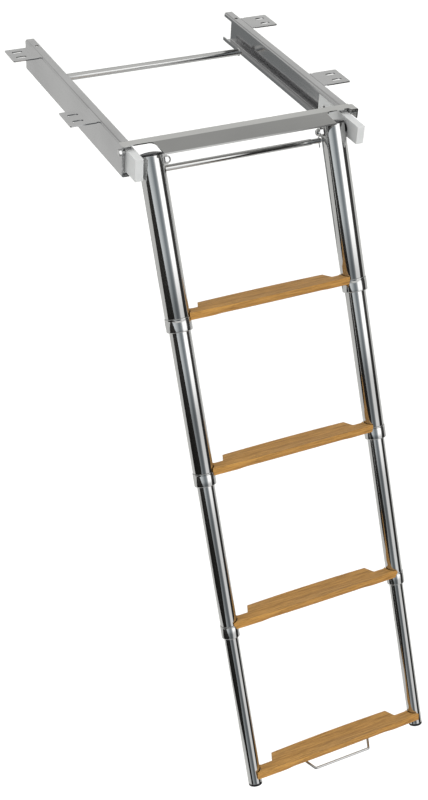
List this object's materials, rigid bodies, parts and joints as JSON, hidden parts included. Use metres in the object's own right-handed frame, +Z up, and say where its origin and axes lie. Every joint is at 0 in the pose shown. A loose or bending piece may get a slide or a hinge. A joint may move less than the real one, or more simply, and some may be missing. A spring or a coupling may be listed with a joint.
{
  "type": "boat boarding ladder",
  "caption": "Slide-out telescopic boarding ladder: nested tube sections with wooden treads hang from nylon sliders that run in channel rails fixed under a swimming platform.",
  "frame": {"origin": "middle of the front plate's flat top strip, which lies against the underside of the platform, level with the tops of the rails and tabs", "axes": "+X across the ladder to the right as seen by a climber facing the boat, +Y forward along the rails, under the platform, +Z up"},
  "size_m": [0.498, 0.9414, 0.9521],
  "materials": {
    "sheet_steel": "polished stainless sheet, soft reflections",
    "polished_tube": "mirror-polished stainless tube",
    "polished_steel": "polished stainless",
    "teak": "oiled, fine grain along the tread",
    "white_nylon": "natural white nylon",
    "grey_nylon": "plain",
    "black_plastic": "satin"
  },
  "bodies": {
    "frame": {"rail_left": "sheet_steel", "rail_right": "sheet_steel", "front_plate": "sheet_steel", "rear_tie_bar": "polished_steel", "stop_bolt_left": "polished_steel", "stop_bolt_right": "polished_steel"},
    "carriage": {"slider_left": "white_nylon", "slider_right": "white_nylon", "pivot_bolt_left": "polished_steel", "pivot_bolt_right": "polished_steel", "pivot_washer_left": "black_plastic", "pivot_washer_right": "black_plastic", "dome_nut_left": "polished_steel", "dome_nut_right": "polished_steel"},
    "section_1": {"upright_1_left": "polished_tube", "upright_1_right": "polished_tube", "collar_1_left": "polished_steel", "collar_1_right": "polished_steel", "tread_1": "teak", "crossbar_1": "sheet_steel", "tread_screw_1_left": "polished_steel", "tread_screw_1_right": "polished_steel", "top_cap_left": "black_plastic", "top_cap_right": "black_plastic", "cross_rod": "polished_steel", "split_pin": "polished_steel"},
    "section_2": {"upright_2_left": "polished_tube", "upright_2_right": "polished_tube", "glide_bush_2_left": "grey_nylon", "glide_bush_2_right": "grey_nylon", "collar_2_left": "polished_steel", "collar_2_right": "polished_steel", "tread_2": "teak", "crossbar_2": "sheet_steel", "tread_screw_2_left": "polished_steel", "tread_screw_2_right": "polished_steel"},
    "section_3": {"upright_3_left": "polished_tube", "upright_3_right": "polished_tube", "glide_bush_3_left": "grey_nylon", "glide_bush_3_right": "grey_nylon", "collar_3_left": "polished_steel", "collar_3_right": "polished_steel", "tread_3": "teak", "crossbar_3": "sheet_steel", "tread_screw_3_left": "polished_steel", "tread_screw_3_right": "polished_steel"},
    "section_4": {"upright_4_left": "polished_tube", "upright_4_right": "polished_tube", "glide_bush_4_left": "grey_nylon", "glide_bush_4_right": "grey_nylon", "tread_4": "teak", "crossbar_4": "sheet_steel", "tread_screw_4_left": "polished_steel", "tread_screw_4_right": "polished_steel", "end_cap_left": "black_plastic", "end_cap_right": "black_plastic", "pull_handle": "polished_steel"}
  },
  "joints": [
    {"name": "carriage_slide", "type": "slide", "parent": "frame", "child": "carriage", "axis": [0, 1, 0], "range_m": [0, 0.35]},
    {"name": "ladder_swing", "type": "hinge", "parent": "carriage", "child": "section_1", "pos_m": [0, -0.0175, -0.0265], "axis": [-1, 0, 0], "range_deg": [0, 62.5]},
    {"name": "section_2_slide", "type": "slide", "parent": "section_1", "child": "section_2", "axis": [0, 0.4617, 0.887], "range_m": [0, 0.214]},
    {"name": "section_3_slide", "type": "slide", "parent": "section_2", "child": "section_3", "axis": [0, 0.4617, 0.887], "range_m": [0, 0.224]},
    {"name": "section_4_slide", "type": "slide", "parent": "section_3", "child": "section_4", "axis": [0, 0.4617, 0.887], "range_m": [0, 0.23]}
  ]
}
